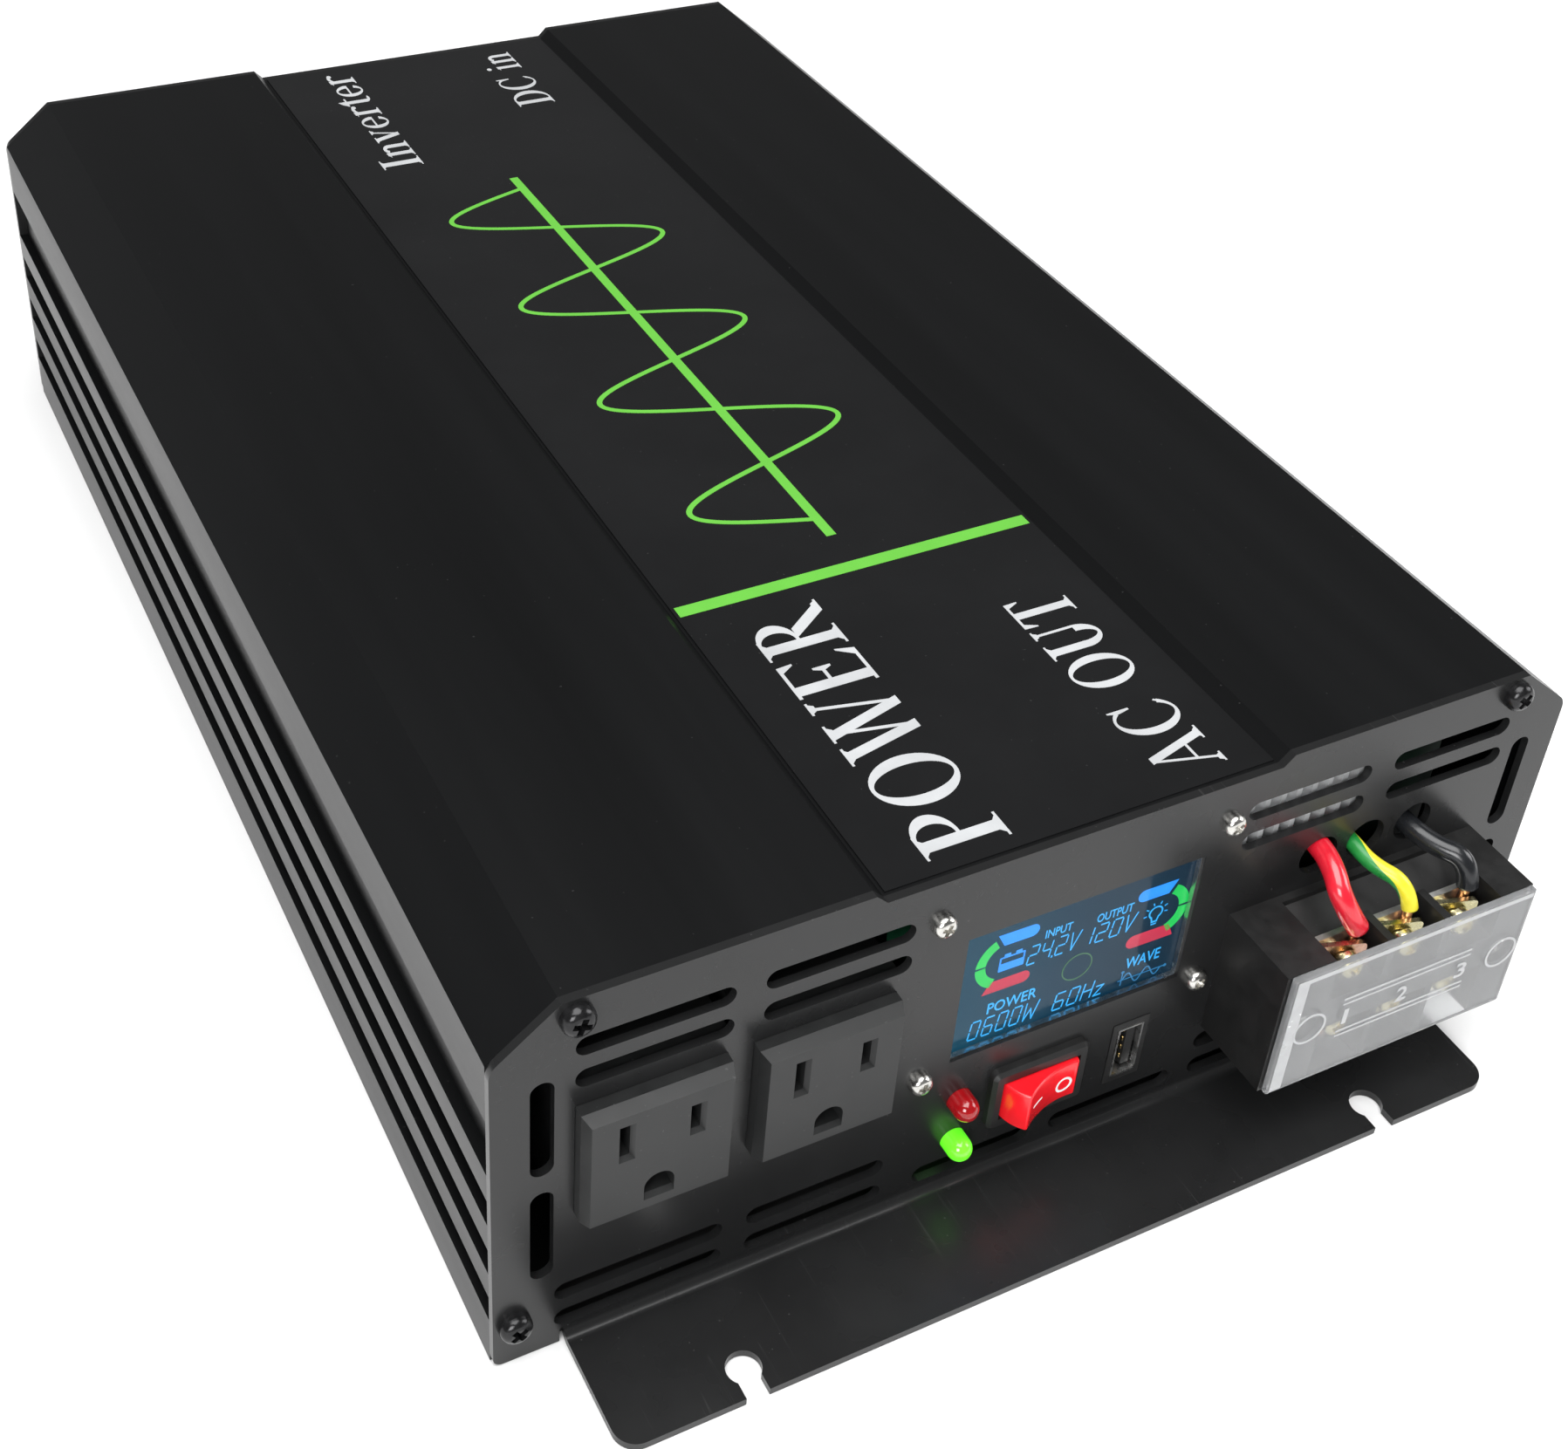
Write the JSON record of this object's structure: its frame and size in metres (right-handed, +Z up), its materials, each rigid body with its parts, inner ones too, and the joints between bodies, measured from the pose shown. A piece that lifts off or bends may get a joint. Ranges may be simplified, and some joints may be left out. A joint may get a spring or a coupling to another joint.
{
  "type": "power inverter",
  "caption": "Low black box with ribbed sides, slotted mounting flanges, two grounded outlets, display, rocker switch, USB port and a covered terminal block.",
  "frame": {"origin": "centre of the base, on the surface that the case rests on", "axes": "+Z up, +X to the right across the front panel as seen from the front, +Y from the front panel to the rear panel"},
  "size_m": [0.22, 0.387, 0.0855],
  "materials": {
    "case_black": "black satin anodised aluminium",
    "panel_black": "black semi-gloss powder coat",
    "plate_black": "black coated steel",
    "label_film": "glossy black film with green graphics",
    "screw_black": "blackened steel",
    "screw_silver": "bright plated steel",
    "outlet_grey": "dark grey moulded nylon",
    "black_plastic": "black moulded plastic",
    "brass": "brass",
    "zinc_yellow": "yellow zinc plate",
    "clear_window": "clear acrylic",
    "lcd_blue": "lit blue display glass",
    "clear_cover": "milky clear polycarbonate",
    "led_red": "red tinted epoxy",
    "led_green": "green tinted epoxy, lit",
    "rocker_red": "red moulded plastic",
    "usb_white": "pale moulded plastic",
    "wire_red": "red wire insulation",
    "wire_earth": "green and yellow wire insulation",
    "wire_black": "black wire insulation",
    "copper": "copper strand",
    "insulator_red": "red moulded nylon",
    "aluminium": "extruded aluminium",
    "steel": "spring steel",
    "pcb": "green circuit board",
    "ferrite": "dark ferrite",
    "winding_tape": "yellow winding tape",
    "capacitor_sleeve": "dark blue capacitor sleeve",
    "fuse_amber": "amber plastic"
  },
  "bodies": {
    "chassis": {"base_plate": "plate_black", "base_screws": "screw_black", "board_standoffs": "brass", "bus_capacitors": "capacitor_sleeve", "case_shell": "case_black", "control_board": "pcb", "dc_bus_straps": "copper", "dc_clamp_screws": "screw_silver", "dc_insulator_negative": "black_plastic", "dc_insulator_positive": "insulator_red", "dc_post_negative": "brass", "dc_post_positive": "brass", "fan_guards": "screw_silver", "fan_left_frame": "black_plastic", "fan_right_frame": "black_plastic", "front_boards": "pcb", "front_panel": "panel_black", "fuses": "fuse_amber", "ground_screw": "screw_silver", "heatsink_bars": "aluminium", "input_capacitors": "capacitor_sleeve", "label_sheet": "label_film", "lcd_glass": "lcd_blue", "lcd_lens": "clear_window", "lcd_screws": "screw_silver", "led_green": "led_green", "led_red": "led_red", "main_board": "pcb", "outlet_contacts": "brass", "outlet_left_body": "outlet_grey", "outlet_right_body": "outlet_grey", "output_board": "pcb", "output_choke": "ferrite", "output_heatsink": "aluminium", "panel_screws": "screw_black", "power_transistors": "black_plastic", "rear_fitting_screws": "screw_silver", "rear_panel": "panel_black", "switch_bezel": "black_plastic", "switch_tabs": "brass", "terminal_bars": "zinc_yellow", "terminal_block_body": "black_plastic", "terminal_clamps": "zinc_yellow", "terminal_cover": "clear_cover", "terminal_mount_screws": "screw_silver", "terminal_screws": "zinc_yellow", "transformer_cores": "ferrite", "transformer_windings": "winding_tape", "transistor_clamps": "steel", "usb_housing": "black_plastic", "usb_shell": "screw_silver", "usb_tongue": "usb_white", "wire_black": "wire_black", "wire_cores": "copper", "wire_earth": "wire_earth", "wire_red": "wire_red"},
    "rocker": {"switch_rocker": "rocker_red"},
    "fan_left": {"fan_left_rotor": "black_plastic"},
    "fan_right": {"fan_right_rotor": "black_plastic"}
  },
  "joints": [
    {"name": "rocker_tilt", "type": "hinge", "parent": "chassis", "child": "rocker", "pos_m": [-0.0027, -0.1694, 0.0217], "axis": [0, 0, 1], "range_deg": [-32, 0]},
    {"name": "fan_left_spin", "type": "hinge", "parent": "chassis", "child": "fan_left", "pos_m": [-0.068, 0.16, 0.0425], "axis": [0, 1, 0], "continuous": true},
    {"name": "fan_right_spin", "type": "hinge", "parent": "chassis", "child": "fan_right", "pos_m": [0.068, 0.16, 0.0425], "axis": [0, 1, 0], "continuous": true}
  ]
}
